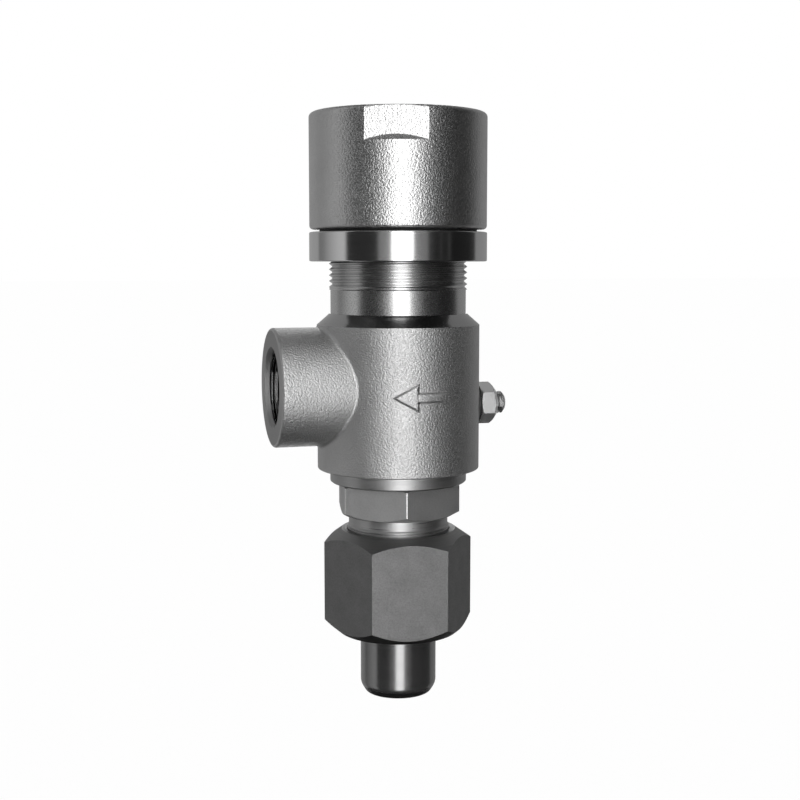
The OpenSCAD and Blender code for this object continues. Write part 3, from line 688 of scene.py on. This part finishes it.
def weld_nipple():
    """The stub with its weld bevel, and the collar inside the nut."""
    bevel = 3.0
    bevel_r = STUB_R - bevel * math.tan(math.radians(32))
    collar_base = NIPPLE_TOP - 6
    collar_r = UNION_THREAD_R - 1
    outline = [(STUB_BORE_R, 15, 0), (STUB_BORE_R, 0, 0.15), (bevel_r, 0, 1.2), (STUB_R, bevel, 4.5),
               (STUB_R, collar_base, 0.2), (collar_r, collar_base, 0.4), (collar_r, NIPPLE_TOP, 0.4),
               (STUB_BORE_R, NIPPLE_TOP, 0.1), (STUB_BORE_R, 15, 0)]
    stub = turned_piece("nipple_stub", outline, "nipple", "inlet", replaced=["weld_nipple"],
                        slot="drawn_stainless")
    # Faces that look down take the lighter, rougher turned finish: partly the machined bevel's own finish,
    # partly a painted reflection of light from below in its lighter colour
    refinish(stub, "flange", lambda normal: normal.z < -0.4)


def cap():
    """The screwed cap: cast skin, round edges and two wrench flats with a turned chamfer below them."""
    apothem = CAP_FLATS / 2
    reach = math.degrees(math.acos(apothem / CAP_R))
    crown_base = CAP_TOP - 9.5
    fold = crown_base - (CAP_R - apothem)
    beside = 0.15
    turns = sorted({round(angle, 4) for angle in (reach - beside, reach, reach + beside)}
                   | {round(reach * k / 12, 4) for k in range(12)}
                   | {round(reach + beside + (90 - beside - reach) * k / 34, 4) for k in range(1, 35)})
    half = [-turn for turn in reversed(turns) if turn] + turns
    columns = []
    for angle in half[:-1] + [turn + 180 for turn in half[:-1]]:
        lean = abs((angle + 90) % 180 - 90)
        radius = min(CAP_R, apothem / math.cos(math.radians(lean)))
        fall = CAP_R - radius
        crease = 0.25 if fall > 0.1 else 0.02
        corners = [(CAP_THREAD_R, CAP_BASE + 20, 0), (CAP_THREAD_R, CAP_BASE + 1, 0.1), (25.0, CAP_BASE, 0.1),
                   (CAP_R, CAP_BASE, 1.4), (CAP_R, fold, crease), (radius, fold + fall + 0.03, crease),
                   (radius, CAP_TOP, 1.5 - fall * 0.6), (5, CAP_TOP, 0), (0, CAP_TOP, 0)]
        columns.append([point_round(2, angle + CAP_TURN, r, z) for r, z in soften(corners, 5)])
    make_piece("cap_shell", [columns], "cast_cap", "spring_cap", replaced=["cap"], slot="cast_stainless")
    crown = [(CAP_THREAD_R, CAP_BASE + 19.5, 0), (CAP_THREAD_R, crown_base, 0.3), (0, crown_base, 0)]
    turned_piece("cap_crown", crown, "neck", "spring_cap", slot="turned_stainless")


def lock_ring():
    """The polished round lock ring. Its underside is duller, and darker in colour as painted shade on the
    face that looks down.
    """
    outline = [(CAP_THREAD_R, RING_BASE + 4, 0), (CAP_THREAD_R, RING_BASE, 0.3), (RING_R, RING_BASE, 0.5),
               (RING_R, RING_TOP, 0.5), (CAP_THREAD_R, RING_TOP, 0.3), (CAP_THREAD_R, RING_BASE + 4, 0)]
    ring = turned_piece("ring_band", outline, "ring", "jam_ring", steps=200, replaced=["lock_ring"],
                        slot="polished_stainless")
    # Faces that look down take the outlet face's duller, darker finish; the darker colour is painted shade
    refinish(ring, "mouth", lambda normal: normal.z < -0.9)


def slotted_dome():
    """Columns of points over the stud's domed end, down the screwdriver slot's walls and to its floor."""
    dome = soften([(SCREW_R, DOME_BASE, 0), (3.8, DOME_BASE + 0.2, 0.3), (2.6, SCREW_END, 1.0),
                   (0, SCREW_END, 0)])
    floor = SCREW_END - SLOT_DEPTH

    def height(radius):
        """The dome's height at a radius."""
        for (outer, low), (inner, high) in zip(dome, dome[1:]):
            if inner <= radius <= outer and inner < outer:
                return low + (high - low) * (outer - radius) / (outer - inner)
        return SCREW_END

    rim = SCREW_R
    while height(rim) < floor:
        rim -= 0.01
    quarter = [math.degrees(math.atan(0.25 * k / SLOT_HALF)) for k in range(16)] + [83.0, 86.5]
    half = quarter + [90.0] + [180 - angle for angle in reversed(quarter)]
    columns = []
    for angle in half[:-1] + [180 + angle for angle in half[:-1]]:
        wall = min(SLOT_HALF / max(abs(math.cos(math.radians(angle))), 0.01), rim)
        top = max(height(wall), floor)
        crease = min(0.06, (top - floor) / 2)
        outline = [(SCREW_R, DOME_BASE)]
        reach = wall + crease - SCREW_R
        outline += [(r, height(r)) for r in (SCREW_R + reach * k / 10 for k in range(1, 11))]
        outline += [(wall, top - crease), (wall, floor + crease), (wall - crease, floor), (0, floor)]
        columns.append([point_round(0, angle, r, x) for r, x in outline])
    return columns


def set_screw():
    """The stud with its plain tip, rolled thread and slotted end, and the lock nut."""
    at_screw = {"axis": 0, "centre": (0, 0, SCREW_Z), "slot": "bright_stainless"}
    shoulder = SCREW_TIP + 4.5
    tip = [(0, SCREW_TIP, 0), (1.5, SCREW_TIP, 0.2), (1.5, shoulder, 0.1), (3.2, shoulder, 0.1),
           (3.9, shoulder + 0.8, 0)]
    turned_piece("screw_tip", tip, "screw", "screw", steps=48, replaced=["set_screw"], **at_screw)
    thread_piece("screw_thread", SCREW_R, depth=0.68, pitch=SCREW_PITCH, low=shoulder + 0.8, high=DOME_BASE,
                 material="screw", body="screw", steps=64, runout=(0.5, 0.8), **at_screw)
    make_piece("screw_end", [slotted_dome()], "screw", "screw", centre=at_screw["centre"],
               slot=at_screw["slot"])
    hole = SCREW_R + RUNNING_GAP
    nut_piece("screw_lock_nut", SCREW_FLATS, NUT_FOOT, NUT_HEAD, top_flat=5.0, low_flat=6.2, top_angle=38,
              low_angle=30, bore=(hole, hole), turn=85.3, material="screw_nut", body="screw_lock", edge=0.3,
              crease=0.12, inside=[(hole, NUT_FOOT, 0)], replaced=["set_screw_nut"], **at_screw)


def spring():
    """The coil spring in two halves, each from one end to the middle. Neither half is attached to a body."""
    # Two narrow rings close the wire's end, and the first full ring stands just behind them
    first, steps = 0.003, 126
    halves = (("spring_lower_half", 0, SPRING_BASE, 1, "lift_train"),
              ("spring_upper_half", COIL_TURNS, SPRING_TOP, -1, "spring_press"))
    for name, tip, foot, sign, moving in halves:
        columns = [ring_of_wire(tip, share) for share in (0.0, 0.9)]
        columns += [ring_of_wire(tip + sign * (first + (COIL_TURNS / 2 - first) * i / steps))
                    for i in range(steps + 1)]
        piece = make_piece(name, [columns], "spring", None, replaced=["spring"] if sign > 0 else (),
                           slot="spring_steel", closed=False)
        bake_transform(piece)


# Finishes of the solids that are shown as they are
CAD_FINISH = {
    "inlet_seal": "copper", "body_gasket": "graphite", "blowdown_ring": "bronze",
    "set_screw_washer": "graphite", "disc": "inner", "seat_insert": "ptfe", "insert_screw": "inner",
    "guide_bush": "bronze", "snap_ring": "spring", "stem": "inner", "stem_pin": "spring",
    "lower_spring_seat": "inner", "upper_spring_seat": "inner", "thrust_ball": "screw_nut",
    "cap_gasket": "graphite",
}


def finish_cad_nodes():
    """Gives each solid that stays in sight its real finish."""
    for node, material in CAD_FINISH.items():
        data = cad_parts[node].data
        data.materials.clear()
        data.materials.append(MATERIALS[material])


# Brightness of the screens round the valve: (angle from the camera, level). Dark flags stand on both
# sides of the soft box in front.
SCREENS = [(-180, 1.8), (-172, 1.8), (-170, 0.38), (-122, 0.4), (-119, 0.2), (-108, 0.25), (-98, 0.38),
           (-81, 0.57), (-70, 0.64), (-66, 0.03), (-26, 0.03), (-23, 0.26), (-8.5, 0.26), (-5.5, 3.6),
           (16.5, 3.6), (19.5, 0.24), (36, 0.24), (39, 0.05), (48, 0.02), (53, 0.02), (55, 0.06),
           (57, 0.02), (64, 0.02), (67, 0.07), (70, 0.012), (100, 0.02), (113, 0.05), (116, 0.3),
           (170, 0.3), (172, 1.8), (180, 1.8)]

# The level that the screens' ramp counts as full
SCREEN_WHITE = 4.0

# Brightness of the ceiling: (place from its far side at -1 to over the camera at 1, level)
CEILING = [(-1.0, 0.05), (-0.4, 0.05), (-0.3, 0.2), (-0.17, 0.2), (-0.12, 0.03), (0.3, 0.05), (0.42, 0.55),
           (1.0, 0.55)]

# Brightness of the dark cloth under the valve
CLOTH = 0.015

# Places of the screens, ceiling and floor
SCREEN_DISTANCE = 700.0
SCREEN_HEAD = 950.0
FLOOR_Z = -500.0
FLOOR_REACH = 40000.0


def glowing_material(name, share, stops, white):
    """A screen that glows by a ramp of (place, level) stops, none brighter than white."""
    material = bpy.data.materials.new(name)
    material.use_nodes = True
    tree = material.node_tree
    tree.nodes.clear()
    ramp = add(tree, "ShaderNodeValToRGB", {"Fac": share(tree)})
    points = ramp.color_ramp.elements
    for _ in stops[2:]:
        points.new(0.5)
    # Places come first, because a stop that moves can change the order of the others
    for point, (place, _) in zip(points, stops):
        point.position = place
    for point, (_, level) in zip(points, stops):
        point.color = [level / white] * 3 + [1]
    glow = add(tree, "ShaderNodeEmission", {"Color": ramp.outputs["Color"], "Strength": white}).outputs[0]
    add(tree, "ShaderNodeOutputMaterial", {"Surface": glow})
    return material


def angle_share(tree):
    """Angle round the valve from the camera's back to its back again, as 0 to 1."""
    place = add(tree, "ShaderNodeTexCoord").outputs["Object"]
    turned = add(tree, "ShaderNodeVectorRotate", {"Vector": place, "Angle": math.radians(-TOWARD_CAMERA)},
                 rotation_type="Z_AXIS").outputs[0]
    parts = add(tree, "ShaderNodeSeparateXYZ", {"Vector": turned}).outputs
    angle = add(tree, "ShaderNodeMath", {0: parts[1], 1: parts[0]}, operation="ARCTAN2").outputs[0]
    limits = {"Value": angle, "From Min": -math.pi, "From Max": math.pi}
    return add(tree, "ShaderNodeMapRange", limits).outputs["Result"]


def front_share(tree):
    """Place from the far side of the ceiling to the side over the camera, as 0 to 1."""
    toward = math.radians(TOWARD_CAMERA)
    place = add(tree, "ShaderNodeTexCoord").outputs["Object"]
    front = {0: place, 1: (math.cos(toward), math.sin(toward), 0)}
    reach = add(tree, "ShaderNodeVectorMath", front, operation="DOT_PRODUCT").outputs["Value"]
    limits = {"Value": reach, "From Min": -SCREEN_DISTANCE * MM, "From Max": SCREEN_DISTANCE * MM}
    return add(tree, "ShaderNodeMapRange", limits).outputs["Result"]


def stage_mesh(name, points, faces, material):
    """A stage piece, which is no part of the valve."""
    data = bpy.data.meshes.new(name)
    data.from_pydata([Vector(p) * MM for p in points], [], faces)
    data.materials.append(material)
    made = bpy.data.objects.new(name, data)
    bpy.context.scene.collection.objects.link(made)
    return made


def studio():
    """A white world and pale floor, with screens and flags that only the polished metal sees."""
    world = bpy.data.worlds.new("white_world")
    world.use_nodes = True
    world.node_tree.nodes["Background"].inputs["Color"].default_value = [1, 1, 1, 1]
    world.cycles.sampling_method = "NONE"
    bpy.context.scene.world = world

    turns = [math.radians(2 * k) for k in range(180)]
    ring = [(SCREEN_DISTANCE * math.cos(turn), SCREEN_DISTANCE * math.sin(turn)) for turn in turns]
    low = [(x, y, FLOOR_Z + 1) for x, y in ring]
    high = [(x, y, SCREEN_HEAD) for x, y in ring]
    sides = [(k, (k + 1) % 180, 180 + (k + 1) % 180, 180 + k) for k in range(180)]
    disc = [tuple(range(180))]
    stops = [((angle + 180) / 360, level) for angle, level in SCREENS]
    screen_glow = glowing_material("screens", angle_share, stops, SCREEN_WHITE)
    screens = stage_mesh("screens", low + high, sides, screen_glow)
    stops = [((place + 1) / 2, level) for place, level in CEILING]
    ceiling = stage_mesh("ceiling", high, disc, glowing_material("ceiling", front_share, stops, 1.0))
    stops = [(0.0, CLOTH), (1.0, CLOTH)]
    cloth = stage_mesh("dark_cloth", low, disc, glowing_material("dark_cloth", front_share, stops, 1.0))
    for screen in (screens, ceiling, cloth):
        screen.visible_camera = False
        screen.visible_diffuse = False
        screen.visible_shadow = False

    pale = bpy.data.materials.new("pale_floor")
    pale.use_nodes = True
    shader = pale.node_tree.nodes["Principled BSDF"]
    shader.inputs["Base Color"].default_value = linear("#fefefe")
    shader.inputs["Roughness"].default_value = 1.0
    shader.inputs["Specular IOR Level"].default_value = 0.0
    far = FLOOR_REACH
    corners = [(-far, -far, FLOOR_Z), (far, -far, FLOOR_Z), (far, far, FLOOR_Z), (-far, far, FLOOR_Z)]
    stage_mesh("floor", corners, [(0, 1, 2, 3)], pale)


def camera():
    """The photograph's camera: level with the lock ring, tipped down a little."""
    data = bpy.data.cameras.new("camera")
    data.lens = LENS
    data.sensor_width = 36.0
    data.clip_start = 0.01
    made = bpy.data.objects.new("camera", data)
    bpy.context.scene.collection.objects.link(made)
    toward, right = math.radians(TOWARD_CAMERA), math.radians(TO_THE_RIGHT)
    place = [VIEW_DISTANCE * math.cos(toward) + VIEW_ASIDE * math.cos(right),
             VIEW_DISTANCE * math.sin(toward) + VIEW_ASIDE * math.sin(right), EYE_HEIGHT]
    made.location = Vector(place) * MM
    made.rotation_euler = (math.radians(90 - VIEW_PITCH), 0, math.radians(-VIEW_TURN))
    bpy.context.scene.camera = made


camera()
bpy.context.scene.view_settings.view_transform = "Standard"
studio()
weld_nipple()
union_nut()
nozzle()
cast_body()
machined_neck()
chamber()
outlet_mouth()
flow_arrow()
set_screw()
lock_ring()
cap()
spring()
finish_cad_nodes()
